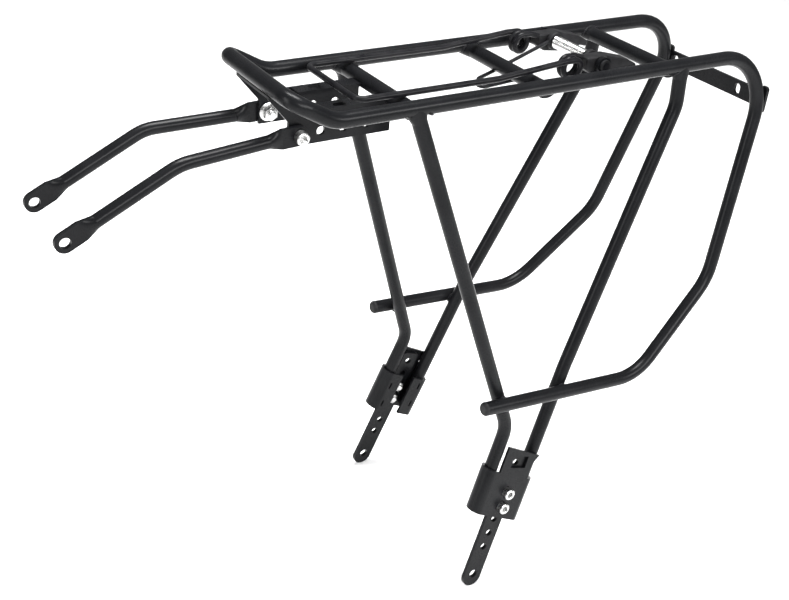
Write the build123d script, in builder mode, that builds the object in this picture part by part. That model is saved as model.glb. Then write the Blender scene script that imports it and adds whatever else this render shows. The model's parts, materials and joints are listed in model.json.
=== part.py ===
"""Bicycle rear rack: a bent tube carrier with pannier rails, swinging stays and a sprung clamp.

X points to the rear of the bicycle, Y to its right and Z up. The origin lies midway between
the two lower strut eyes, on the centre plane. The left side is modelled and mirrored to the
right. All sizes are in millimetres.
"""

import os
from math import cos, pi, sin

from build123d import *

os.makedirs("parts", exist_ok=True)

# Frame tube
tube_diameter = 10.0
tube_wall = 1.5
weld_gap = 0.05
tube_radius = tube_diameter / 2

# Deck hoop: two rails joined by a raised loop at the front
rail_spacing = 88.0
rail_height = 368.0
rail_end_x = 190.0
loop_x = -146.5
loop_rise = 15.0
loop_ramp_x = -119.0
loop_corner_radius = 11.0
loop_ramp_radius = 26.0
rail_y = rail_spacing / 2
loop_height = rail_height + loop_rise

# Cross tubes between the rails
cross_tube_drop = 2.5
front_cross_x = -65.0
middle_cross_x = 35.0
rear_cross_x = 142.0
cross_height = rail_height - cross_tube_drop

# Flattened and flared tube ends where a tube is welded to a rail
flare_width = 16.0
flare_length = 9.0

# Lower ends of the legs: a tilted plane through the strut eye
eye_spacing = 162.0
foot_lean = 0.350
foot_splay = 0.085
leg_spacing = 34.5
leg_centre_shift = -0.25
leg_bottom = 53.0

# Legs
front_leg_top_x = -64.5
front_leg_bend = 122.5
rear_leg_top_x = 151.5
rear_leg_top_straight = 28.0
rear_leg_top_splay = 2.5
rear_leg_bend = 173.5
leg_bend_radius = 24.0

# Pannier hoops: rear bend, down tube and lower rail
rear_corner_x = 243.0
knee_x = 203.0
knee_y = 66.6
knee_height = 200.5
lower_rail_rear_x = 137.0
lower_rail_front_x = -4.0
lower_rail_front_height = 147.4
lower_rail_rear_height = 142.6
rear_corner_radius = 40.0
knee_radius = 40.0

# Screws: M5 socket head screws with nuts
screw_diameter = 5.0
screw_hole = 5.5
screw_head_diameter = 8.5
screw_head_height = 5.0
screw_head_taper = 2.0
screw_socket = 4.0
screw_socket_depth = 2.6
nut_width = 8.0
nut_height = 4.0
flange_nut_diameter = 11.8
flange_nut_rim = 1.2
thread_tail = 1.6

# Struts: the two perforated strips that reach down to the frame eyes
strut_width = 16.0
strut_thickness = 3.0
eye_hole = 7.0
eye_to_tip = 10.5
first_hole = 24.0
hole_pitch = 12.0
hole_count = 7
strut_top_margin = 7.5
strut_top_radius = 3.0
screwed_holes = (3, 4)

# Strut brackets: sheet wrapped round the ends of both legs
bracket_sheet = 2.0
bracket_clearance = 0.1
bracket_low = 50.3
bracket_high = 86.0
bracket_slant = 0.16
lip_gap = 13.0
tab_left = -13.5
tab_right = 19.5
tab_high = 107.0
window_width = 14.0
window_height = 9.5
window_centre = (2.0, 97.0)
lip_slot_length = 6.0
lip_slot_width = 1.6

# Stay channels under the front of the deck
channel_y = 19.0
channel_sheet = 2.0
channel_low = 345.0
channel_top_drop = 2.7
channel_front_x = -135.5
channel_rear_x = -66.0
channel_flange_inner = 9.4
channel_flange_front_x = -114.0
channel_ear_root = 9.0
channel_ear_drop = 5.0
channel_notch = 4.5
channel_notch_setback = 14.0
stay_bolt_x = -129.5
stay_bolt_drop = 15.8
channel_pitch = 15.5
channel_holes = 4

# Front strap under the loop
strap_width = 5.0
strap_thickness = 1.6
strap_length = 46.0

# Stays: rods with flattened ends that reach forward to the seat stays
stay_diameter = 8.0
stay_flat_width = 12.0
stay_flat_thickness = 3.2
stay_flat_length = 11.0
stay_taper_length = 9.0
stay_bend_x = -205.0
stay_bend_drop = 3.3
stay_bend_y = 26.5
stay_bend_radius = 30.0
stay_eye_x = -271.5
stay_eye_drop = 37.0
stay_pivot_clearance = 0.15
stay_pivot_hole = 5.14
stay_eye_hole = 6.6
washer_gap = 0.15

# Light plate behind the down tubes
light_plate_x = 236.7
light_plate_thickness = 2.5
light_plate_height = 12.5
light_plate_drop = 34.5
light_hole_width = 5.4
light_hole_height = 8.0
light_hole_offsets = (25.0, 40.0)
light_ear_height = 20.0
light_ear_length = 7.0
light_ear_radius = 2.5

# Spring clamp
wire_diameter = 4.0
clamp_rest_gap = 0.3
bow_front_x = -97.0
bow_half_width = 31.5
bow_corner_radius = 7.0
coil_x = 66.0
coil_radius = 6.0
coil_top_rise = 4.7
coil_pitch = 4.2
coil_turns = 2
coil_corners = 8
coil_arc_share = 0.97
bow_rise_x = 5.0
bow_tail_turn_x = 72.0
bow_tail_x = 85.0
bow_tail_rise = 1.5
arm_straight = 8.0
arm_rise_radius = 60.0
arm_level_radius = 20.0

# Clamp levers, outline measured from the axle
lever_inner_y = 20.5
lever_width = 9.6
lever_edge_radius = 1.2
lever_outline = [
    (-12.0, -3.0),
    (-12.0, 4.8),
    (6.0, 5.0),
    (24.0, 0.5),
    (33.0, -4.0),
    (32.0, -8.0),
    (26.5, -6.5),
    (20.0, -8.5),
    (6.0, -8.5),
    (-6.0, -7.0),
]

# Clamp hinge
axle_x = 90.0
axle_rise = 4.0
axle_diameter = 5.0
axle_clearance = 0.05
lug_thickness = 3.0
lug_inner_y = 31.0
lug_eye_radius = 5.5
lug_foot_width = 8.0
lug_foot_thickness = 3.2
lug_foot_drop = 7.5
axle_cap_diameter = 8.0
axle_cap_width = 1.8

# Torsion spring on the axle, and the leg that bears on the middle cross tube from below
spring_wire = 1.6
spring_radius = 3.6
spring_turns = 18
spring_pitch = 1.75
collar_diameter = 12.0
collar_width = 3.4
spring_end_gap = 0.3
spring_leg_diameter = 2.6
spring_leg_gap = 0.25
spring_leg_root = (-4.4, 0.4)
spring_leg_nose = [(17.5, 5.2), (5.0, -10.3)]
spring_leg_end = (38.0, -5.8)
spring_leg_cross_y = 12.9
spring_leg_radii = [12.0, 7.0, 3.5]
axle_height = rail_height + axle_rise

# Derived heights and positions of the clamp wire
bow_height = cross_height + tube_radius + wire_diameter / 2 + clamp_rest_gap
coil_top = bow_height + coil_top_rise
coil_centre = coil_top - coil_radius

# Foot frame of the left side: "along" runs up the strut, "across" to the rear, "out" outboard
along = Vector(foot_lean, foot_splay, 1.0).normalized()
across = (Vector(1, 0, 0) - along * along.X).normalized()
outward = across.cross(along)
left_eye = Vector(0, -eye_spacing / 2, 0)
foot_plane = Plane(origin=left_eye, x_dir=across, z_dir=outward)
leg_depth = strut_thickness / 2 - tube_radius


def foot_point(u, v, n):
    """Point of the left foot frame: u along the strut, v across to the rear, n outboard."""
    return left_eye + along * u + across * v + outward * n


def between(start, end, height):
    """Point at the given height on the line through two points."""
    return start + (end - start) * ((height - start.Z) / (end.Z - start.Z))


def bent_tube(points, bend_radii, diameter, wall=0.0):
    """Sweep a round tube, or a rod when there is no wall, through straight runs and bends."""
    with BuildLine() as path:
        FilletPolyline(*points, radius=bend_radii)
    with BuildSketch(Plane(origin=path.line @ 0, z_dir=path.line % 0)) as ring:
        Circle(diameter / 2)
        if wall:
            Circle(diameter / 2 - wall, mode=Mode.SUBTRACT)
    sweep(ring.sketch, path=path.line)


def straight_tube(start, end, diameter, wall=0.0):
    """Extrude a straight tube or rod from one point to another."""
    with BuildSketch(Plane(origin=start, z_dir=end - start)) as ring:
        Circle(diameter / 2)
        if wall:
            Circle(diameter / 2 - wall, mode=Mode.SUBTRACT)
    extrude(ring.sketch, amount=(end - start).length)


def flared_end(joint, direction):
    """Solid flattened tube end, from the round tube out to the wide weld at the joint."""
    wide = (Vector(1, 0, 0) - direction * direction.X).normalized()
    with BuildSketch(Plane(origin=joint - direction * flare_length, x_dir=wide, z_dir=direction)) as neck:
        Circle(tube_radius)
    with BuildSketch(Plane(origin=joint, x_dir=wide, z_dir=direction)) as mouth:
        Ellipse(flare_width / 2, tube_radius)
    loft([neck.sketch, mouth.sketch])


def cut_rails():
    """Cope the part being built to both rails."""
    with Locations((0, -rail_y, rail_height), (0, rail_y, rail_height)):
        Cylinder(tube_radius + weld_gap, 2 * rear_corner_x, rotation=(0, 90, 0), mode=Mode.SUBTRACT)


def socket_screw(head_seat, grip):
    """Socket head screw: head above the seat plane, shank below it."""
    with BuildSketch(head_seat) as head:
        Circle(screw_head_diameter / 2)
    extrude(head.sketch, amount=screw_head_height, taper=screw_head_taper)
    with BuildSketch(head_seat.offset(screw_head_height - screw_socket_depth)) as socket:
        RegularPolygon(screw_socket / 2, 6, major_radius=False)
    extrude(socket.sketch, amount=screw_socket_depth, mode=Mode.SUBTRACT)
    with BuildSketch(head_seat) as shank:
        Circle(screw_diameter / 2)
    extrude(shank.sketch, amount=-grip)


def hex_nut(seat, width, height, rim=0.0):
    """Nut built up from its seat plane, with an optional flange."""
    if rim:
        with BuildSketch(seat) as flange:
            Circle(flange_nut_diameter / 2)
        extrude(flange.sketch, amount=rim)
    with BuildSketch(seat) as hexagon:
        RegularPolygon(width / 2, 6, major_radius=False)
    extrude(hexagon.sketch, amount=height)
    with BuildSketch(seat) as thread:
        Circle(screw_diameter / 2 + weld_gap)
    extrude(thread.sketch, amount=height, mode=Mode.SUBTRACT)


def finish(part, name):
    """Label a finished piece and write its file."""
    part.label = name
    export_step(part, "parts/" + name + ".step")


# ---- Deck -----------------------------------------------------------------------------------

left_hoop_points = [
    (rail_end_x, -rail_y, rail_height),
    (loop_ramp_x, -rail_y, rail_height),
    (loop_x, -rail_y, loop_height),
]
right_hoop_points = [(x, -y, z) for x, y, z in reversed(left_hoop_points)]
hoop_radii = [loop_ramp_radius, loop_corner_radius, loop_corner_radius, loop_ramp_radius]

with BuildPart() as deck_hoop:
    bent_tube(left_hoop_points + right_hoop_points, hoop_radii, tube_diameter, tube_wall)

with BuildPart() as hoop_envelope:
    bent_tube(left_hoop_points + right_hoop_points, hoop_radii, tube_diameter + 2 * weld_gap)

front_leg_knee = foot_point(front_leg_bend, leg_centre_shift - leg_spacing / 2, leg_depth)
front_leg_top = Vector(front_leg_top_x, -rail_y, rail_height)
rear_leg_knee = foot_point(rear_leg_bend, leg_centre_shift + leg_spacing / 2, leg_depth)
rear_leg_top = Vector(rear_leg_top_x, -rail_y, rail_height)
rear_leg_shoulder = Vector(rear_leg_top_x, -rail_y - rear_leg_top_splay, rail_height - rear_leg_top_straight)


def leg(top, bends, foot, radii):
    """Leg tube from its flared top under the rail down into the bracket."""
    direction = (top - bends[0]).normalized()
    neck = top - direction * flare_length
    bent_tube([neck] + bends + [foot], radii, tube_diameter, tube_wall)
    flared_end(top, direction)
    cut_rails()


with BuildPart() as left_front_leg:
    leg(
        front_leg_top,
        [front_leg_knee],
        foot_point(leg_bottom, leg_centre_shift - leg_spacing / 2, leg_depth),
        [leg_bend_radius],
    )

with BuildPart() as left_rear_leg:
    leg(
        rear_leg_top,
        [rear_leg_shoulder, rear_leg_knee],
        foot_point(leg_bottom, leg_centre_shift + leg_spacing / 2, leg_depth),
        [leg_bend_radius, leg_bend_radius],
    )


def cross_tube(x):
    """Cross tube with flared ends, coped to the rails and to the legs that meet them."""
    neck = rail_y - flare_length
    straight_tube(Vector(x, -neck, cross_height), Vector(x, neck, cross_height), tube_diameter, tube_wall)
    for side in (-1, 1):
        flared_end(Vector(x, side * rail_y, cross_height), Vector(0, side, 0))
    cut_rails()


with BuildPart() as front_cross_tube:
    cross_tube(front_cross_x)
    add(left_front_leg.part, mode=Mode.SUBTRACT)
    mirror(left_front_leg.part, about=Plane.XZ, mode=Mode.SUBTRACT)

with BuildPart() as middle_cross_tube:
    cross_tube(middle_cross_x)

with BuildPart() as rear_cross_tube:
    cross_tube(rear_cross_x)
    add(left_rear_leg.part, mode=Mode.SUBTRACT)
    mirror(left_rear_leg.part, about=Plane.XZ, mode=Mode.SUBTRACT)

with BuildPart() as front_strap:
    with BuildSketch(Plane.XY.offset(loop_height - tube_radius - weld_gap - strap_thickness)):
        with Locations((loop_x, 0)):
            Rectangle(strap_width, strap_length)
    extrude(amount=strap_thickness)
    fillet(edges().filter_by(Axis.Z), strap_width / 2 - 0.5)
    add(hoop_envelope.part, mode=Mode.SUBTRACT)

# ---- Pannier hoops --------------------------------------------------------------------------

welded_offset = Vector(1, 0, 0).cross(front_leg_top - front_leg_knee).normalized() * (
    tube_diameter + weld_gap
)
rear_welded_offset = Vector(1, 0, 0).cross(along).normalized() * (tube_diameter + weld_gap)
front_crossing = between(front_leg_knee, front_leg_top, lower_rail_front_height) + welded_offset
rear_crossing = between(left_eye, left_eye + along, lower_rail_rear_height)
rear_crossing += across * (leg_centre_shift + leg_spacing / 2) + outward * leg_depth
rear_crossing += along * ((lower_rail_rear_height - rear_crossing.Z) / along.Z) + rear_welded_offset
lower_rail_run = rear_crossing - front_crossing


def lower_rail_point(x):
    """Point of the lower rail's axis, on the line through both leg crossings."""
    return front_crossing + lower_rail_run * ((x - front_crossing.X) / lower_rail_run.X)


with BuildPart() as left_pannier_hoop:
    bent_tube(
        [
            (rail_end_x + weld_gap, -rail_y, rail_height),
            (rear_corner_x, -rail_y, rail_height),
            (knee_x, -knee_y, knee_height),
            lower_rail_point(lower_rail_rear_x),
            lower_rail_point(lower_rail_front_x),
        ],
        [rear_corner_radius, knee_radius, knee_radius],
        tube_diameter,
        tube_wall,
    )

with BuildPart() as rail_end_plugs:
    with BuildSketch(Plane(origin=lower_rail_point(lower_rail_front_x), z_dir=lower_rail_run * -1)):
        Circle(tube_radius)
    extrude(amount=2.6)
    fillet(faces().sort_by(Axis.X)[0].edges(), 2.2)
    with BuildSketch(Plane(origin=lower_rail_point(lower_rail_front_x), z_dir=lower_rail_run)):
        Circle(tube_radius - tube_wall - weld_gap)
    extrude(amount=9.0)
    mirror(about=Plane.XZ)

# ---- Struts and their brackets --------------------------------------------------------------

bracket_inner_radius = tube_radius + bracket_clearance
bracket_outer_radius = bracket_inner_radius + bracket_sheet
plate_inner = leg_depth + bracket_inner_radius
plate_outer = plate_inner + bracket_sheet
strut_length = first_hole + hole_pitch * (hole_count - 1) + strut_top_margin
tip_centre = strut_width / 2 - eye_to_tip
strut_lift = plate_inner - strut_thickness / 2 - weld_gap
strut_plane = foot_plane.offset(strut_lift)
screw_heights = [first_hole + hole_pitch * index for index in screwed_holes]

with BuildPart() as left_strut:
    with BuildSketch(strut_plane):
        with Locations((0, (strut_length + tip_centre) / 2)):
            Rectangle(strut_width, strut_length - tip_centre)
        with Locations((0, tip_centre)):
            Circle(strut_width / 2)
        fillet(vertices().sort_by(Axis.Y)[-2:], strut_top_radius)
    extrude(amount=strut_thickness / 2, both=True)
    with BuildSketch(strut_plane):
        with Locations(*[(0, first_hole + hole_pitch * index) for index in range(hole_count)]):
            Circle(screw_hole / 2)
        Circle(eye_hole / 2)
    extrude(amount=strut_thickness, both=True, mode=Mode.SUBTRACT)

bracket_middle = leg_centre_shift
section_plane = Plane(origin=foot_point(bracket_low - 12, 0, leg_depth), x_dir=across, z_dir=along)
lip_side = 1 if section_plane.y_dir.dot(outward) < 0 else -1

with BuildPart() as left_bracket:
    with BuildSketch(section_plane):
        with Locations((bracket_middle, 0)):
            SlotCenterToCenter(leg_spacing, 2 * bracket_outer_radius)
            SlotCenterToCenter(leg_spacing, 2 * bracket_inner_radius, mode=Mode.SUBTRACT)
        with Locations((bracket_middle, lip_side * bracket_outer_radius)):
            Rectangle(lip_gap, 2 * bracket_outer_radius - 2 * bracket_sheet, mode=Mode.SUBTRACT)
    extrude(amount=bracket_high - bracket_low + 24)
    for height, keep in ((bracket_low, 1), (bracket_high, -1)):
        cut_normal = (along + across * bracket_slant).normalized() * keep
        split(bisect_by=Plane(origin=foot_point(height, 0, 0), z_dir=cut_normal), keep=Keep.TOP)
    with BuildSketch(foot_plane.offset(plate_inner)):
        with BuildLine():
            Polyline(
                (tab_left, bracket_high - 6),
                (tab_left, tab_high - bracket_slant * tab_left),
                (tab_right, tab_high - bracket_slant * tab_right - 1),
                (tab_right - 4.5, tab_high - 12),
                (tab_right - 3.5, bracket_high - 6),
                close=True,
            )
        make_face()
        with Locations(window_centre):
            Rectangle(window_width, window_height, mode=Mode.SUBTRACT)
    extrude(amount=bracket_sheet)
    with BuildSketch(foot_plane.offset(plate_inner)):
        with Locations(*[(0, height) for height in screw_heights]):
            Circle(screw_hole / 2)
    extrude(amount=bracket_sheet, mode=Mode.SUBTRACT)
    with BuildSketch(foot_plane.offset(leg_depth - bracket_outer_radius)):
        for shift in (-1, 1):
            with Locations(*[
                (bracket_middle + shift * leg_spacing / 2 - shift * 2, height)
                for height in (bracket_low + 9, bracket_high - 9)
            ]):
                SlotOverall(lip_slot_length, lip_slot_width, rotation=90)
    extrude(amount=bracket_sheet, mode=Mode.SUBTRACT)

with BuildPart() as strut_screws:
    for height in screw_heights:
        seat = Plane(origin=foot_point(height, 0, plate_outer), x_dir=across, z_dir=outward)
        socket_screw(seat, bracket_sheet + strut_thickness + nut_height + thread_tail)
    mirror(about=Plane.XZ)

with BuildPart() as strut_nuts:
    for height in screw_heights:
        nut_seat = foot_point(height, 0, strut_lift - strut_thickness / 2 - weld_gap)
        hex_nut(Plane(origin=nut_seat, x_dir=along, z_dir=outward * -1), nut_width, nut_height)
    mirror(about=Plane.XZ)

# ---- Stay channels and stays ----------------------------------------------------------------

channel_top = rail_height - channel_top_drop
stay_bolt_height = rail_height - stay_bolt_drop
strap_underside = loop_height - tube_radius - 2 * weld_gap - strap_thickness
channel_outer_y = channel_y + channel_sheet / 2
channel_inner_y = channel_y - channel_sheet / 2
notch_x = channel_flange_front_x + channel_notch_setback

with BuildPart() as left_stay_channel:
    with BuildSketch(Plane.XZ.offset(channel_inner_y)):
        with BuildLine():
            Polyline(
                (channel_front_x, channel_low),
                (channel_rear_x, channel_low),
                (channel_rear_x, channel_top),
                (channel_front_x + channel_ear_root, channel_top),
                (loop_x + strap_width / 2, strap_underside),
                (loop_x - strap_width / 2, strap_underside),
                (channel_front_x, channel_top - channel_ear_drop),
                close=True,
            )
        make_face()
        with Locations(*[
            (stay_bolt_x + channel_pitch * index, stay_bolt_height) for index in range(channel_holes)
        ]):
            Circle(screw_hole / 2, mode=Mode.SUBTRACT)
    extrude(amount=channel_sheet)
    with BuildSketch(Plane.XY.offset(channel_top)):
        with Locations(((channel_flange_front_x + channel_rear_x) / 2, -channel_inner_y)):
            Rectangle(
                channel_rear_x - channel_flange_front_x,
                channel_inner_y - channel_flange_inner,
                align=(Align.CENTER, Align.MIN),
            )
        with Locations((notch_x, -channel_inner_y + channel_notch / 2)):
            SlotOverall(2 * channel_notch, channel_notch, mode=Mode.SUBTRACT)
    extrude(amount=-channel_sheet)
    with Locations((front_cross_x, 0, cross_height)):
        Cylinder(tube_radius + weld_gap, rail_spacing, rotation=(90, 0, 0), mode=Mode.SUBTRACT)

flat_inner_y = channel_outer_y + stay_pivot_clearance
flat_middle_y = flat_inner_y + stay_flat_thickness / 2
flat_outer_y = flat_inner_y + stay_flat_thickness
stay_pivot = Vector(stay_bolt_x, -flat_middle_y, stay_bolt_height)
stay_bend = Vector(stay_bend_x, -stay_bend_y, stay_bolt_height - stay_bend_drop)
stay_eye = Vector(stay_eye_x, -stay_bend_y, stay_bolt_height - stay_eye_drop)


def flattened_end(eye, toward, hole):
    """Vertical flat with a round end and a hole, tapering into the round rod."""
    run = (Vector(toward.X, eye.Y, toward.Z) - eye).normalized()
    flat = Plane(origin=eye, x_dir=run, z_dir=(0, -1, 0))
    with BuildSketch(flat) as paddle:
        Circle(stay_flat_width / 2)
        with Locations((stay_flat_length / 2, 0)):
            Rectangle(stay_flat_length, stay_flat_width)
    extrude(paddle.sketch, amount=stay_flat_thickness / 2, both=True)
    root = eye + run * stay_flat_length
    with BuildSketch(Plane(origin=root, x_dir=(0, 1, 0), z_dir=run)) as flattened:
        Rectangle(stay_flat_thickness, stay_flat_width)
    with BuildSketch(Plane(origin=root + run * stay_taper_length, x_dir=(0, 1, 0), z_dir=run)) as round_end:
        Circle(stay_diameter / 2)
    loft([flattened.sketch, round_end.sketch])
    with BuildSketch(flat) as eye_opening:
        Circle(hole / 2)
    extrude(eye_opening.sketch, amount=stay_flat_thickness, both=True, mode=Mode.SUBTRACT)
    return root + run * stay_taper_length


with BuildPart() as left_stay:
    rear_root = flattened_end(stay_pivot, stay_bend, stay_pivot_hole)
    front_root = flattened_end(stay_eye, stay_bend, stay_eye_hole)
    bent_tube([rear_root, stay_bend, front_root], [stay_bend_radius], stay_diameter)

with BuildPart() as stay_screws:
    head_seat = Vector(stay_bolt_x, -flat_outer_y - washer_gap, stay_bolt_height)
    socket_screw(
        Plane(origin=head_seat, x_dir=(1, 0, 0), z_dir=(0, -1, 0)),
        flat_outer_y + washer_gap - channel_inner_y + nut_height + flange_nut_rim + thread_tail,
    )
    mirror(about=Plane.XZ)

with BuildPart() as stay_nuts:
    nut_seat = Vector(stay_bolt_x, -channel_inner_y + weld_gap, stay_bolt_height)
    hex_nut(
        Plane(origin=nut_seat, x_dir=(1, 0, 0), z_dir=(0, 1, 0)),
        nut_width,
        nut_height + flange_nut_rim,
        flange_nut_rim,
    )
    mirror(about=Plane.XZ)

# ---- Light plate ----------------------------------------------------------------------------

down_direction = (
    Vector(knee_x, -knee_y, knee_height) - Vector(rear_corner_x, -rail_y, rail_height)
).normalized()
light_plate_height_z = rail_height - light_plate_drop
down_tube_drop = light_plate_drop / -down_direction.Z
down_tube_at_plate = Vector(rear_corner_x, -rail_y, rail_height) + down_direction * down_tube_drop

with BuildPart() as light_plate:
    with BuildSketch(Plane.YZ.offset(light_plate_x)):
        with Locations((0, light_plate_height_z)):
            Rectangle(-2 * down_tube_at_plate.Y, light_plate_height)
        for side in (-1, 1):
            with Locations((-side * down_tube_at_plate.Y, light_plate_height_z)):
                RectangleRounded(light_ear_length, light_ear_height, light_ear_radius)
    extrude(amount=light_plate_thickness)
    with BuildSketch(Plane.YZ.offset(light_plate_x)):
        for offset_y in light_hole_offsets:
            with Locations((-offset_y, light_plate_height_z), (offset_y, light_plate_height_z)):
                SlotOverall(light_hole_height, light_hole_width, rotation=90)
    extrude(amount=light_plate_thickness, mode=Mode.SUBTRACT)
    add(left_pannier_hoop.part, mode=Mode.SUBTRACT)
    mirror(left_pannier_hoop.part, about=Plane.XZ, mode=Mode.SUBTRACT)

# ---- Spring clamp ---------------------------------------------------------------------------


def coil_corner(turn):
    """Corner of the left arm's coil after the given part of a turn, starting on top going rearwards."""
    angle = 2 * pi * turn
    reach = coil_radius / cos(pi / coil_corners)
    return (
        coil_x + reach * sin(angle),
        coil_pitch * turn - bow_half_width,
        coil_centre + reach * cos(angle),
    )


bow_tail_y = bow_half_width - coil_pitch * coil_turns
bow_tail_points = [
    (coil_x, -bow_tail_y, coil_top),
    (bow_tail_turn_x, -bow_tail_y, coil_top),
    (bow_tail_x, -bow_tail_y, axle_height + bow_tail_rise),
]
arm_rise_end = coil_x - arm_straight
coil_corner_count = coil_turns * coil_corners
coil_arc_radius = coil_radius * coil_arc_share

with BuildPart() as clamp_bow:
    with BuildLine() as half_wire:
        FilletPolyline(
            (bow_front_x, 0, bow_height),
            (bow_front_x, -bow_half_width, bow_height),
            (bow_rise_x, -bow_half_width, bow_height),
            (arm_rise_end, -bow_half_width, coil_top),
            *[coil_corner((step + 0.5) / coil_corners) for step in range(coil_corner_count)],
            *bow_tail_points[1:],
            radius=[bow_corner_radius, arm_rise_radius, arm_level_radius]
            + [coil_arc_radius] * (coil_corner_count + 1),
        )
    with BuildSketch(Plane(origin=half_wire.line @ 0, z_dir=half_wire.line % 0)):
        Circle(wire_diameter / 2)
    sweep(path=half_wire.line)
    mirror(about=Plane.XZ)

with BuildPart() as tail_envelope:
    bent_tube(bow_tail_points, [coil_radius], wire_diameter + 2 * weld_gap)

with BuildPart() as left_clamp_lever:
    with BuildSketch(Plane.XZ.offset(lever_inner_y)):
        with BuildLine():
            Polyline(*[(axle_x + x, axle_height + z) for x, z in lever_outline], close=True)
        make_face()
        fillet(vertices(), lever_edge_radius)
    extrude(amount=lever_width)
    fillet(edges().filter_by(Axis.Y, reverse=True), lever_edge_radius - 0.3)
    with Locations((axle_x, -lever_inner_y - lever_width / 2, axle_height)):
        Cylinder(
            axle_diameter / 2 + axle_clearance, 2 * lever_width, rotation=(90, 0, 0), mode=Mode.SUBTRACT
        )
    add(tail_envelope.part, mode=Mode.SUBTRACT)

# ---- Clamp hinge ----------------------------------------------------------------------------

lug_outer_y = lug_inner_y + lug_thickness
lug_foot_level = axle_height - lug_foot_drop

with BuildPart() as left_hinge_lug:
    with BuildSketch(Plane.XZ.offset(lug_inner_y)):
        with Locations((axle_x, axle_height)):
            Circle(lug_eye_radius)
        with Locations((axle_x, (axle_height + lug_foot_level) / 2)):
            Rectangle(lug_foot_width, axle_height - lug_foot_level)
        with Locations((axle_x, axle_height)):
            Circle(axle_diameter / 2 + weld_gap, mode=Mode.SUBTRACT)
    extrude(amount=lug_thickness)
    with BuildSketch(Plane.XZ.offset(lug_outer_y)):
        with Locations((axle_x, lug_foot_level + lug_foot_thickness / 2)):
            Rectangle(lug_foot_width, lug_foot_thickness)
    extrude(amount=rail_y - lug_outer_y)
    cut_rails()

axle_half_length = lug_outer_y + axle_cap_width

with BuildPart() as clamp_axle:
    straight_tube(
        Vector(axle_x, -axle_half_length, axle_height),
        Vector(axle_x, axle_half_length, axle_height),
        axle_diameter,
    )

with BuildPart() as axle_caps:
    with BuildSketch(Plane.XZ.offset(lug_outer_y + weld_gap)):
        with Locations((axle_x, axle_height)):
            Circle(axle_cap_diameter / 2)
            Circle(axle_diameter / 2 + weld_gap, mode=Mode.SUBTRACT)
    extrude(amount=axle_cap_width)
    mirror(about=Plane.XZ)

spring_half_length = spring_turns * spring_pitch / 2
collar_inner_y = spring_half_length + spring_wire / 2 + spring_end_gap

with BuildPart() as torsion_spring:
    with BuildLine() as turns:
        Helix(
            spring_pitch,
            2 * spring_half_length,
            spring_radius,
            center=(axle_x, -spring_half_length, axle_height),
            direction=(0, 1, 0),
        )
    with BuildSketch(Plane(origin=turns.line @ 0, z_dir=turns.line % 0)):
        Circle(spring_wire / 2)
    sweep(path=turns.line, is_frenet=True)

spring_leg_height = cross_height - tube_radius - spring_leg_diameter / 2 - spring_leg_gap

with BuildPart() as spring_leg:
    bent_tube(
        [
            (
                axle_x + spring_leg_root[0],
                collar_inner_y + collar_width / 2,
                axle_height + spring_leg_root[1],
            ),
            (middle_cross_x, spring_leg_cross_y, spring_leg_height),
            *[(x, y, spring_leg_height) for x, y in spring_leg_nose],
            (*spring_leg_end, spring_leg_height),
        ],
        spring_leg_radii,
        spring_leg_diameter,
    )

with BuildPart() as spring_collars:
    with BuildSketch(Plane.XZ.offset(collar_inner_y)):
        with Locations((axle_x, axle_height)):
            Circle(collar_diameter / 2)
            Circle(axle_diameter / 2 + axle_clearance, mode=Mode.SUBTRACT)
    extrude(amount=collar_width)
    fillet(edges().filter_by(GeomType.CIRCLE).group_by(SortBy.LENGTH)[-1], 0.6)
    mirror(about=Plane.XZ)
    add(spring_leg.part, mode=Mode.SUBTRACT)

# ---- Files ----------------------------------------------------------------------------------

middle_pieces = {
    "deck_hoop": deck_hoop.part,
    "front_cross_tube": front_cross_tube.part,
    "middle_cross_tube": middle_cross_tube.part,
    "rear_cross_tube": rear_cross_tube.part,
    "front_strap": front_strap.part,
    "rail_end_plugs": rail_end_plugs.part,
    "strut_screws": strut_screws.part,
    "strut_nuts": strut_nuts.part,
    "stay_screws": stay_screws.part,
    "stay_nuts": stay_nuts.part,
    "light_plate": light_plate.part,
    "clamp_bow": clamp_bow.part,
    "clamp_axle": clamp_axle.part,
    "axle_caps": axle_caps.part,
    "torsion_spring": torsion_spring.part,
    "spring_leg": spring_leg.part,
    "spring_collars": spring_collars.part,
}
left_pieces = {
    "front_leg": left_front_leg.part,
    "rear_leg": left_rear_leg.part,
    "pannier_hoop": left_pannier_hoop.part,
    "strut": left_strut.part,
    "strut_bracket": left_bracket.part,
    "stay_channel": left_stay_channel.part,
    "stay": left_stay.part,
    "hinge_lug": left_hinge_lug.part,
    "clamp_lever": left_clamp_lever.part,
}

for name, part in middle_pieces.items():
    finish(part, name)

for name, part in left_pieces.items():
    finish(part, "left_" + name)
    finish(mirror(part, about=Plane.XZ), "right_" + name)
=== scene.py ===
"""Looks of the bicycle rear rack: coated tubes, weld beads, zinc fasteners and moulded levers."""

import json
from math import atan2, cos, pi, radians, sin, sqrt

import bmesh
import bpy
from mathutils import Matrix, Vector
from mathutils.bvhtree import BVHTree


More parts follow.
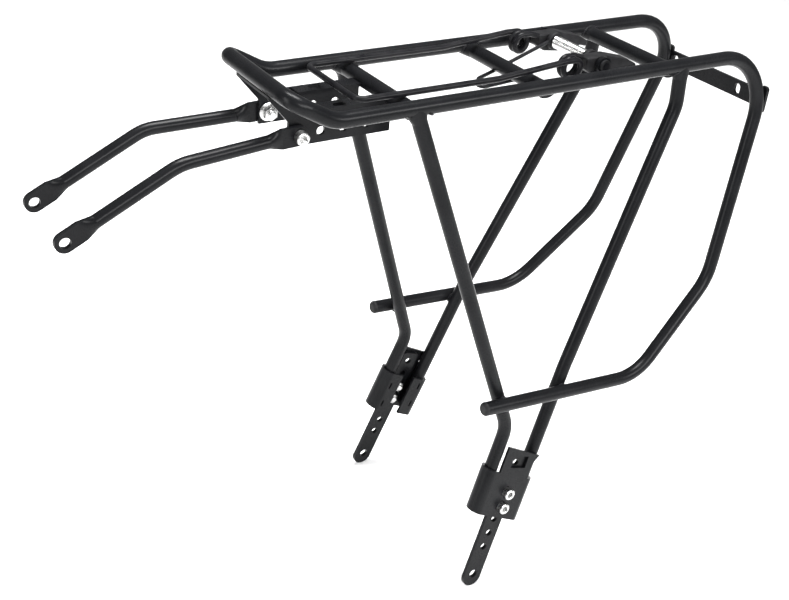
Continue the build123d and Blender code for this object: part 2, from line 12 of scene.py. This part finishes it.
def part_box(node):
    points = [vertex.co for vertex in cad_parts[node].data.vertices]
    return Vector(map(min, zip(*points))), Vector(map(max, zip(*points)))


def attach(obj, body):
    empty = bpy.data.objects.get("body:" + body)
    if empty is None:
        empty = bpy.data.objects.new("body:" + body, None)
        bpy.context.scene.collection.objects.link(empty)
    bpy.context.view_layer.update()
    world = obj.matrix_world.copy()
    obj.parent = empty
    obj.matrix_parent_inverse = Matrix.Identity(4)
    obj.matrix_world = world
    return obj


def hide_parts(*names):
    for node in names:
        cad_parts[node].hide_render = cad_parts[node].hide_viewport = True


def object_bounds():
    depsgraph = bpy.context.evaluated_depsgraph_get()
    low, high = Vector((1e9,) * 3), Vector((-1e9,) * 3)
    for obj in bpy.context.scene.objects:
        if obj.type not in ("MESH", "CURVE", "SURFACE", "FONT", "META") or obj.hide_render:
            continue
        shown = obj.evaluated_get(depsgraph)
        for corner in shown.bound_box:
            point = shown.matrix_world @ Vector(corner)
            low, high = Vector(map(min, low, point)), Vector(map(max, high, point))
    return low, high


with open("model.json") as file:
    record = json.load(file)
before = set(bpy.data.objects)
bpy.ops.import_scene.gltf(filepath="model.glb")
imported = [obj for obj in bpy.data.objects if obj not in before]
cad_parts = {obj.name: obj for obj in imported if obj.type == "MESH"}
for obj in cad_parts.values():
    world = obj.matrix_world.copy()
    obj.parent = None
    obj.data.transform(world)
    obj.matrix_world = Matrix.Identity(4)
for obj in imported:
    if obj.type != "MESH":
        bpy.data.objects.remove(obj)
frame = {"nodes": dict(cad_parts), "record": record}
cad_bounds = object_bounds()
nodes = frame["nodes"]
mounts = {mount["name"]: mount for mount in frame["record"]["mounts"]}
sides = ("left", "right")

# Sizes that the fasteners and welds share with the frame, in metres
TUBE_RADIUS = 0.005
SCREW_RADIUS = 0.0025
HEAD_RADIUS = 0.00425
HEAD_HEIGHT = 0.005
NUT_WIDTH = 0.008
NUT_HEIGHT = 0.004
FLANGE_RADIUS = 0.0059
FLANGE_RIM = 0.0012
THREAD_TAIL = 0.0016
THREAD_PITCH = 0.0008
THREAD_LENGTH = 0.0056
SOCKET_CORNER = 0.0023
SOCKET_RIM = 0.0027
SOCKET_DEPTH = 0.0024
SOCKET_CHAMFER = 0.0004
KNURL_STEPS = 72
KNURL_DEPTH = 0.028
NUT_CHAMFER = 0.00045
BRACKET_SHEET = 0.002
STRUT_THICKNESS = 0.003
PLATE_OUTER = 0.0036
STRUT_HOLES = (0.060, 0.072)
STRUT_LEAN = (0.350, 0.085, 1.0)
BEAD_STEP = 0.00028
BEAD_DAB = 0.0015
BEAD_RADIUS = 0.001
LEG_TOP_HALF_WIDTH = 0.0078
LEG_TOP_MIDDLE = 0.008
FRONT_LEG_SLOPE = 0.36


# ---- Materials ------------------------------------------------------------------------------


def start_material(name):
    """Empty node material with its shader, and the object's own coordinates."""
    material = bpy.data.materials.new(name)
    material.use_nodes = True
    tree = material.node_tree
    shader = tree.nodes["Principled BSDF"]
    coords = tree.nodes.new("ShaderNodeTexCoord")
    return material, tree, shader, coords.outputs["Object"]


def noise(tree, coords, scale, detail=3.0, roughness=0.5):
    """Noise over the object's coordinates."""
    texture = tree.nodes.new("ShaderNodeTexNoise")
    texture.inputs["Scale"].default_value = scale
    texture.inputs["Detail"].default_value = detail
    texture.inputs["Roughness"].default_value = roughness
    tree.links.new(coords, texture.inputs["Vector"])
    return texture.outputs["Fac"]


def ramp(tree, value, stops):
    """Colour ramp with stops given as (position, colour)."""
    node = tree.nodes.new("ShaderNodeValToRGB")
    node.color_ramp.elements[0].position = stops[0][0]
    node.color_ramp.elements[0].color = (*stops[0][1], 1)
    node.color_ramp.elements[1].position = stops[-1][0]
    node.color_ramp.elements[1].color = (*stops[-1][1], 1)
    for position, color in stops[1:-1]:
        element = node.color_ramp.elements.new(position)
        element.color = (*color, 1)
    tree.links.new(value, node.inputs["Fac"])
    return node.outputs["Color"]


def remap(tree, value, low, high):
    """Value spread from low to high."""
    node = tree.nodes.new("ShaderNodeMapRange")
    node.inputs["From Min"].default_value = 0.3
    node.inputs["From Max"].default_value = 0.7
    node.inputs["To Min"].default_value = low
    node.inputs["To Max"].default_value = high
    tree.links.new(value, node.inputs["Value"])
    return node.outputs["Result"]


def bump(tree, shader, heights, distance, strength):
    """Surface relief added to the shader; heights are laid over one another."""
    normal = None
    for height in heights:
        node = tree.nodes.new("ShaderNodeBump")
        node.inputs["Strength"].default_value = strength
        node.inputs["Distance"].default_value = distance
        tree.links.new(height, node.inputs["Height"])
        if normal:
            tree.links.new(normal, node.inputs["Normal"])
        normal = node.outputs["Normal"]
    tree.links.new(normal, shader.inputs["Normal"])


def powder_coat():
    """Semi-gloss black powder coat with fine orange peel and slight colour drift."""
    material, tree, shader, coords = start_material("black powder coat")
    drift = noise(tree, coords, 45.0, 4.0)
    peel = noise(tree, coords, 1100.0, 2.0)
    ripple = noise(tree, coords, 330.0, 2.0)
    grain = noise(tree, coords, 2600.0, 1.0)
    color = ramp(tree, drift, [(0.3, (0.0040, 0.0042, 0.0048)), (0.7, (0.0070, 0.0072, 0.0080))])
    tree.links.new(color, shader.inputs["Base Color"])
    tree.links.new(remap(tree, grain, 0.24, 0.34), shader.inputs["Roughness"])
    shader.inputs["Specular IOR Level"].default_value = 0.09
    bump(tree, shader, [ripple, peel], 0.00006, 0.35)
    return material


def wire_coat():
    """Black coat over drawn wire, glossier and thinner than the tubes' coat."""
    material, tree, shader, coords = start_material("black wire coat")
    drift = noise(tree, coords, 120.0, 4.0)
    grain = noise(tree, coords, 1800.0, 2.0)
    color = ramp(tree, drift, [(0.3, (0.004, 0.004, 0.005)), (0.7, (0.010, 0.010, 0.011))])
    tree.links.new(color, shader.inputs["Base Color"])
    tree.links.new(remap(tree, drift, 0.26, 0.38), shader.inputs["Roughness"])
    shader.inputs["Specular IOR Level"].default_value = 0.09
    bump(tree, shader, [grain], 0.00005, 0.3)
    return material


def moulded_plastic():
    """Black moulded plastic with a fine spark texture."""
    material, tree, shader, coords = start_material("black moulded plastic")
    drift = noise(tree, coords, 160.0, 3.0)
    spark = noise(tree, coords, 2400.0, 2.0, 0.7)
    color = ramp(tree, drift, [(0.3, (0.006, 0.006, 0.0065)), (0.7, (0.013, 0.013, 0.014))])
    tree.links.new(color, shader.inputs["Base Color"])
    tree.links.new(remap(tree, spark, 0.42, 0.58), shader.inputs["Roughness"])
    shader.inputs["Specular IOR Level"].default_value = 0.12
    bump(tree, shader, [spark], 0.00008, 0.4)
    return material


def zinc_plate(name, tint, low, high):
    """Bright zinc plate with faint clouding and scratches."""
    material, tree, shader, coords = start_material(name)
    cloud = noise(tree, coords, 420.0, 5.0, 0.6)
    stretch = tree.nodes.new("ShaderNodeMapping")
    stretch.inputs["Scale"].default_value = (1.0, 1.0, 9.0)
    tree.links.new(coords, stretch.inputs["Vector"])
    scratch = noise(tree, stretch.outputs["Vector"], 1500.0, 2.0, 0.6)
    pale = tuple(channel * 1.08 for channel in tint)
    dull = tuple(channel * 0.93 for channel in tint)
    tree.links.new(ramp(tree, cloud, [(0.3, dull), (0.7, pale)]), shader.inputs["Base Color"])
    tree.links.new(remap(tree, cloud, low, high), shader.inputs["Roughness"])
    shader.inputs["Metallic"].default_value = 1.0
    bump(tree, shader, [scratch], 0.00001, 0.2)
    return material


def weld_coat():
    """Powder coat over a rippled weld, with painted shade in the ripple's hollows and a painted highlight
    on its crests.
    """
    material, tree, shader, coords = start_material("coated weld")
    lumps = noise(tree, coords, 900.0, 4.0, 0.6)
    # Colour follows the bump's lumps: painted shade, darker in the ripple's hollows and lighter on its
    # raised crests.
    tree.links.new(
        ramp(tree, lumps, [(0.3, (0.005, 0.005, 0.006)), (0.7, (0.011, 0.011, 0.012))]),
        shader.inputs["Base Color"],
    )
    tree.links.new(remap(tree, lumps, 0.28, 0.42), shader.inputs["Roughness"])
    shader.inputs["Specular IOR Level"].default_value = 0.09
    bump(tree, shader, [lumps], 0.0001, 0.5)
    return material


COAT = powder_coat()
WIRE = wire_coat()
PLASTIC = moulded_plastic()
ZINC = zinc_plate("bright zinc plate", (0.46, 0.46, 0.455), 0.20, 0.36)
SPRING = zinc_plate("plated spring wire", (0.62, 0.62, 0.61), 0.16, 0.30)
WELD = weld_coat()
FINISHES = {
    "black_powder_coat": COAT,
    "black_wire_coat": WIRE,
    "black_plastic": PLASTIC,
    "zinc_steel": ZINC,
}


def finish_cad_nodes():
    """Give every carried node the finish of its slot."""
    for entry in frame["record"]["subparts"]:
        material = SPRING if entry["node"] == "torsion_spring" else FINISHES[entry["material_slot"]]
        mesh = nodes[entry["node"]].data
        if not mesh.materials:
            mesh.materials.append(material)
        for index in range(len(mesh.materials)):
            mesh.materials[index] = material


# ---- Making pieces --------------------------------------------------------------------------


def make_piece(name, bm, material, body, flat_over=32.0):
    """Turn a bmesh into a piece that rides on a body and takes the finish it is given."""
    bmesh.ops.remove_doubles(bm, verts=bm.verts, dist=1e-6)
    bmesh.ops.recalc_face_normals(bm, faces=bm.faces)
    for face in bm.faces:
        face.smooth = True
    for edge in bm.edges:
        edge.smooth = len(edge.link_faces) == 2 and edge.calc_face_angle(0.0) < radians(flat_over)
    mesh = bpy.data.meshes.new(name)
    bm.to_mesh(mesh)
    bm.free()
    mesh.materials.append(material)
    piece = bpy.data.objects.new(name, mesh)
    bpy.context.scene.collection.objects.link(piece)
    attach(piece, body)
    return piece


def seat_matrix(seat, axis):
    """Place that puts a fastener's seat at a point with its +Z along the axis."""
    return Matrix.Translation(seat) @ Vector(axis).to_track_quat("Z", "Y").to_matrix().to_4x4()


def place(bm, part, matrix):
    """Add a part's mesh to another at its place."""
    bmesh.ops.remove_doubles(part, verts=part.verts, dist=1e-6)
    bmesh.ops.transform(part, matrix=matrix, verts=part.verts)
    scratch = bpy.data.meshes.new("scratch")
    part.to_mesh(scratch)
    part.free()
    bm.from_mesh(scratch)
    bpy.data.meshes.remove(scratch)


def spin_outline(bm, outline, steps):
    """Turn an open outline of (radius, height) points round Z."""
    verts = [bm.verts.new((radius, 0, height)) for radius, height in outline]
    edges = [bm.edges.new(pair) for pair in zip(verts, verts[1:])]
    return bmesh.ops.spin(
        bm,
        geom=verts + edges,
        cent=(0, 0, 0),
        axis=(0, 0, 1),
        angle=2 * pi,
        steps=steps,
        use_merge=True,
    )


def screw_outline(grip):
    """Outline of a socket screw from the tip of its thread up to the rim of its socket."""
    outline = [(0.0, -grip), (SCREW_RADIUS * 0.72, -grip), (SCREW_RADIUS * 0.84, -grip + 0.0003)]
    threads = int(THREAD_LENGTH / THREAD_PITCH)
    for turn in range(threads):
        height = -grip + 0.0005 + turn * THREAD_PITCH
        outline.append((SCREW_RADIUS, height))
        outline.append((SCREW_RADIUS * 0.86, height + THREAD_PITCH / 2))
    outline += [
        (SCREW_RADIUS, -grip + 0.0006 + threads * THREAD_PITCH),
        (SCREW_RADIUS, 0.0),
        (HEAD_RADIUS - 0.0002, 0.0),
        (HEAD_RADIUS, 0.0002),
        (HEAD_RADIUS, 0.0012),
        (HEAD_RADIUS, 0.0026),
        (HEAD_RADIUS, 0.0040),
        (HEAD_RADIUS - 0.0001, 0.0044),
        (HEAD_RADIUS - 0.0006, 0.0049),
        (HEAD_RADIUS - 0.0010, HEAD_HEIGHT),
        (SOCKET_RIM, HEAD_HEIGHT),
    ]
    return outline


def add_socket_screw(bm, seat, axis, grip):
    """Socket screw with a knurled head, a chamfered hex socket and a threaded end."""
    screw = bmesh.new()
    spin_outline(screw, screw_outline(grip), KNURL_STEPS)
    bmesh.ops.remove_doubles(screw, verts=screw.verts, dist=1e-6)
    for vert in screw.verts:
        on_side = vert.co.xy.length > HEAD_RADIUS - 1e-5 and 0.0008 < vert.co.z < 0.0042
        spoke = round(atan2(vert.co.y, vert.co.x) / (2 * pi) * KNURL_STEPS)
        if on_side and spoke % 2:
            vert.co.xy *= 1 - KNURL_DEPTH
    rim = [edge for edge in screw.edges if edge.is_boundary]
    hexagon = bmesh.ops.create_circle(screw, segments=6, radius=SOCKET_CORNER, cap_ends=False)["verts"]
    bmesh.ops.translate(screw, verts=hexagon, vec=(0, 0, HEAD_HEIGHT - SOCKET_CHAMFER))
    hex_edges = list({edge for vert in hexagon for edge in vert.link_edges})
    bmesh.ops.bridge_loops(screw, edges=rim + hex_edges)
    walls = bmesh.ops.extrude_edge_only(screw, edges=hex_edges)["geom"]
    floor = [item for item in walls if isinstance(item, bmesh.types.BMVert)]
    bmesh.ops.translate(screw, verts=floor, vec=(0, 0, -SOCKET_DEPTH))
    floor_edges = [item for item in walls if isinstance(item, bmesh.types.BMEdge)]
    bmesh.ops.contextual_create(screw, geom=[edge for edge in floor_edges if edge.is_boundary])
    place(bm, screw, seat_matrix(seat, axis))


def add_hex_nut(bm, seat, axis, flange=False):
    """Hexagon nut with chamfered corners, with or without a flange."""
    nut = bmesh.new()
    rim = FLANGE_RIM if flange else 0.0
    corner = NUT_WIDTH / sqrt(3)
    made = bmesh.ops.create_cone(
        nut, cap_ends=True, segments=6, radius1=corner, radius2=corner, depth=NUT_HEIGHT
    )
    bmesh.ops.translate(nut, verts=made["verts"], vec=(0, 0, rim + NUT_HEIGHT / 2))
    across = [edge for edge in nut.edges if abs(edge.verts[0].co.z - edge.verts[1].co.z) < 1e-6]
    bmesh.ops.bevel(
        nut, geom=across, offset=NUT_CHAMFER, affect="EDGES", segments=2, profile=0.5, material=-1
    )
    place(bm, nut, seat_matrix(seat, axis))
    if flange:
        washer = bmesh.new()
        spin_outline(
            washer,
            [
                (0.0, 0.0),
                (FLANGE_RADIUS - 0.0002, 0.0),
                (FLANGE_RADIUS, 0.0002),
                (FLANGE_RADIUS - 0.0001, 0.0007),
                (FLANGE_RADIUS - 0.0012, FLANGE_RIM),
                (0.0, FLANGE_RIM + 0.0002),
            ],
            48,
        )
        place(bm, washer, seat_matrix(seat, axis))


# ---- Fasteners ------------------------------------------------------------------------------


def strut_frame(side):
    """Eye, direction up the strut and outward normal of one strut."""
    mirror = -1 if side == "right" else 1
    lean = Vector((STRUT_LEAN[0], STRUT_LEAN[1] * mirror, STRUT_LEAN[2])).normalized()
    mount = mounts[side + "_strut_eye"]
    return Vector(mount["pos_m"]), lean, Vector(mount["axis"])


def make_strut_fasteners():
    """Screws and nuts that hold both struts to their brackets."""
    screws = bmesh.new()
    nuts = bmesh.new()
    for side in sides:
        eye, lean, outward = strut_frame(side)
        for height in STRUT_HOLES:
            centre = eye + lean * height
            seat = centre + outward * (PLATE_OUTER - 0.00005)
            grip = BRACKET_SHEET + STRUT_THICKNESS + NUT_HEIGHT + THREAD_TAIL
            add_socket_screw(screws, seat, outward, grip)
            add_hex_nut(nuts, centre - outward * (STRUT_THICKNESS / 2 + 0.0001), outward * -1)
    piece = make_piece("strut_screw_set", screws, ZINC, "frame")
    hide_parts("strut_screws")
    piece = make_piece("strut_nut_set", nuts, ZINC, "frame")
    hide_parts("strut_nuts")


def make_stay_fasteners():
    """Screws and flange nuts that the stays swing on."""
    screws = bmesh.new()
    nuts = bmesh.new()
    screw_low, screw_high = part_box("stay_screws")
    nut_low, nut_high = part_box("stay_nuts")
    centre_x = (screw_low[0] + screw_high[0]) / 2
    centre_z = (screw_low[2] + screw_high[2]) / 2
    seat_y = screw_high[1] - HEAD_HEIGHT
    nut_y = nut_high[1]
    grip = seat_y - nut_y + FLANGE_RIM + NUT_HEIGHT + THREAD_TAIL
    for mirror in (-1, 1):
        add_socket_screw(screws, Vector((centre_x, mirror * seat_y, centre_z)), (0, mirror, 0), grip)
        add_hex_nut(nuts, Vector((centre_x, mirror * nut_y, centre_z)), (0, -mirror, 0), flange=True)
    piece = make_piece("stay_screw_set", screws, ZINC, "frame")
    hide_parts("stay_screws")
    piece = make_piece("stay_nut_set", nuts, ZINC, "frame")
    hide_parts("stay_nuts")


# ---- Weld beads -----------------------------------------------------------------------------


def smooth_path(points, spacing):
    """Points spread evenly along a line of points."""
    lengths = [0.0]
    for start, end in zip(points, points[1:]):
        lengths.append(lengths[-1] + (end - start).length)
    count = max(4, int(lengths[-1] / spacing))
    spread = []
    index = 0
    for step in range(count + 1):
        target = lengths[-1] * step / count
        while index < len(points) - 2 and lengths[index + 1] < target:
            index += 1
        part = (target - lengths[index]) / max(lengths[index + 1] - lengths[index], 1e-9)
        spread.append(points[index].lerp(points[index + 1], min(part, 1.0)))
    return spread


def add_bead(curve, points, radius=0.0009):
    """Rippled bead along a path: one swell for each dab of the weld."""
    path = smooth_path(points, BEAD_STEP)
    spline = curve.splines.new("POLY")
    spline.points.add(len(path) - 1)
    for index, point in enumerate(path):
        swell = 0.86 + 0.2 * abs(sin(index * BEAD_STEP / BEAD_DAB * pi))
        taper = min(1.0, 0.35 + index / 5, 0.35 + (len(path) - 1 - index) / 5)
        spline.points[index].co = (*point, 1)
        spline.points[index].radius = swell * taper * radius / BEAD_RADIUS


def rail_weld(curve, x, rail_y, rail_z, half_width, drop):
    """Bead over a flared cross tube end, where it meets a rail above the tube's own axis."""
    inward = -1 if rail_y > 0 else 1
    path = []
    steps = 48
    for step in range(steps + 1):
        turn = -0.42 + (pi + 0.84) * step / steps
        height = TUBE_RADIUS * sin(turn) - drop
        depth = sqrt(max(TUBE_RADIUS**2 - height**2, 0.0))
        path.append(Vector((x + half_width * cos(turn), rail_y + inward * depth, rail_z + height)))
    add_bead(curve, path)


def leg_weld(curve, x, rail_y, rail_z, half_width, slope):
    """Beads on both sides of a flared leg top under a rail."""
    for side in (-1, 1):
        path = []
        for step in range(25):
            turn = -1.1 + 2.2 * step / 24
            across = TUBE_RADIUS * 0.97 * sin(turn)
            down = sqrt(TUBE_RADIUS**2 - across**2)
            reach = half_width * sqrt(1 - (across / TUBE_RADIUS) ** 2)
            path.append(Vector((x + side * reach + slope * down, rail_y + across, rail_z - down)))
        add_bead(curve, path)


def contact(node_a, node_b):
    """Middle of the closest approach of one node's long edges to another node's surface."""
    mesh_a = nodes[node_a].data
    mesh_b = nodes[node_b].data
    tree = BVHTree.FromPolygons(
        [vert.co for vert in mesh_b.vertices], [tuple(face.vertices) for face in mesh_b.polygons]
    )
    nearest = 1.0
    middle = None
    for edge in mesh_a.edges:
        start, end = (mesh_a.vertices[index].co for index in edge.vertices)
        steps = int((end - start).length / 0.0015)
        for step in range(1, steps):
            spot = start.lerp(end, step / steps)
            point, _, _, distance = tree.find_nearest(spot, 0.004)
            if point and distance < nearest:
                nearest = distance
                middle = (spot + point) / 2
    return middle


def crossing_weld(curve, centre, across, along, radius):
    """Ring of weld in the cleft between two tubes that cross."""
    ring = []
    for step in range(33):
        turn = 2 * pi * step / 32
        ring.append(centre + across * radius * cos(turn) + along * radius * 0.8 * sin(turn))
    add_bead(curve, ring, 0.0011)


def make_welds():
    """All weld beads of the frame, as one piece."""
    curve = bpy.data.curves.new("weld path", "CURVE")
    curve.dimensions = "3D"
    curve.bevel_depth = BEAD_RADIUS
    curve.bevel_resolution = 2
    curve.use_fill_caps = True
    hoop_low, hoop_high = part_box("deck_hoop")
    rail_y = hoop_high[1] - TUBE_RADIUS
    rail_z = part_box("left_pannier_hoop")[1][2] - TUBE_RADIUS
    for name in ("front_cross_tube", "middle_cross_tube", "rear_cross_tube"):
        low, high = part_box(name)
        centre_x = (low[0] + high[0]) / 2
        half_width = (high[0] - low[0]) / 2
        drop = rail_z - (low[2] + high[2]) / 2
        for mirror in (-1, 1):
            rail_weld(curve, centre_x, mirror * rail_y, rail_z, half_width, drop)
    for side, mirror in (("left", -1), ("right", 1)):
        for leg, slope in (("front_leg", FRONT_LEG_SLOPE), ("rear_leg", 0.0)):
            low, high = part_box(side + "_" + leg)
            centre_x = low[0] + LEG_TOP_MIDDLE if leg == "front_leg" else high[0] - LEG_TOP_MIDDLE
            leg_weld(curve, centre_x, mirror * rail_y, rail_z, LEG_TOP_HALF_WIDTH, slope)
            spot = contact(side + "_pannier_hoop", side + "_" + leg)
            crossing_weld(curve, spot, Vector((0.8, 0, 0.6)), Vector((0.6, 0, -0.8)), 0.0034)
        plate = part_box("light_plate")
        plate_y = mirror * (plate[1][1] - 0.0045)
        for shift in (-1, 1):
            low_point = Vector((plate[0][0] - 0.0002, plate_y + shift * 0.0034, plate[0][2] + 0.001))
            high_point = low_point + Vector((-0.0006, mirror * -0.0008, 0.012))
            add_bead(curve, [low_point, low_point.lerp(high_point, 0.5), high_point], 0.0008)
    path = bpy.data.objects.new("weld path", curve)
    bpy.context.scene.collection.objects.link(path)
    bpy.context.view_layer.update()
    mesh = bpy.data.meshes.new_from_object(path.evaluated_get(bpy.context.evaluated_depsgraph_get()))
    bpy.data.objects.remove(path)
    bm = bmesh.new()
    bm.from_mesh(mesh)
    make_piece("weld_beads", bm, WELD, "frame", flat_over=70.0)


# ---- Camera, light and floor ----------------------------------------------------------------


def set_camera():
    """Camera from the front left, above the deck."""
    yaw, pitch, roll = 0.604590, 0.536226, 0.0885293
    place_m = Vector((-0.42680, -0.56414, 0.61311))
    forward = Vector((sin(yaw) * cos(pitch), cos(yaw) * cos(pitch), -sin(pitch)))
    level_right = Vector((cos(yaw), -sin(yaw), 0))
    level_up = level_right.cross(forward)
    right = level_right * cos(roll) + level_up * sin(roll)
    up = level_up * cos(roll) - level_right * sin(roll)
    data = bpy.data.cameras.new("camera")
    data.sensor_width = 36.0
    data.lens = 52.11
    data.clip_start = 0.01
    camera = bpy.data.objects.new("camera", data)
    camera.matrix_world = Matrix.Translation(place_m) @ Matrix((right, up, -forward)).transposed().to_4x4()
    bpy.context.scene.collection.objects.link(camera)
    bpy.context.scene.camera = camera


def add_softbox(name, place_m, target, width, height, power):
    """Rectangular soft light that faces a point."""
    data = bpy.data.lights.new(name, "AREA")
    data.shape = "RECTANGLE"
    data.size = width
    data.size_y = height
    data.energy = power
    light = bpy.data.objects.new(name, data)
    aim = (Vector(target) - Vector(place_m)).to_track_quat("-Z", "Y")
    light.matrix_world = Matrix.Translation(place_m) @ aim.to_matrix().to_4x4()
    bpy.context.scene.collection.objects.link(light)


def set_light():
    """White studio: bright surroundings, an overhead softbox and a long one on the near side."""
    world = bpy.data.worlds.new("studio")
    world.use_nodes = True
    background = world.node_tree.nodes["Background"]
    background.inputs["Color"].default_value = (1.0, 1.0, 1.0, 1)
    background.inputs["Strength"].default_value = 0.28
    bpy.context.scene.world = world
    bpy.context.scene.view_settings.view_transform = "Standard"
    centre = (0.0, 0.0, 0.25)
    add_softbox("overhead softbox", (0.1, 0.1, 1.9), centre, 1.0, 0.5, 75.0)
    add_softbox("near softbox", (0.3, -1.7, 1.1), centre, 2.2, 0.35, 60.0)
    add_softbox("front softbox", (-1.7, -0.2, 0.7), centre, 0.5, 1.2, 20.0)


def lay_floor():
    """Plain pale floor under the strut feet."""
    bm = bmesh.new()
    bmesh.ops.create_grid(bm, x_segments=1, y_segments=1, size=30.0)
    bmesh.ops.translate(bm, verts=bm.verts, vec=(0, 0, cad_bounds[0][2] - 0.0005))
    mesh = bpy.data.meshes.new("floor")
    bm.to_mesh(mesh)
    bm.free()
    material, tree, shader, coords = start_material("pale floor")
    tint = ramp(tree, noise(tree, coords, 3.0), [(0.3, (0.93, 0.93, 0.93)), (0.7, (0.95, 0.95, 0.95))])
    tree.links.new(tint, shader.inputs["Base Color"])
    shader.inputs["Roughness"].default_value = 0.9
    mesh.materials.append(material)
    floor = bpy.data.objects.new("floor", mesh)
    bpy.context.scene.collection.objects.link(floor)


finish_cad_nodes()
make_strut_fasteners()
make_stay_fasteners()
make_welds()
set_camera()
set_light()
lay_floor()
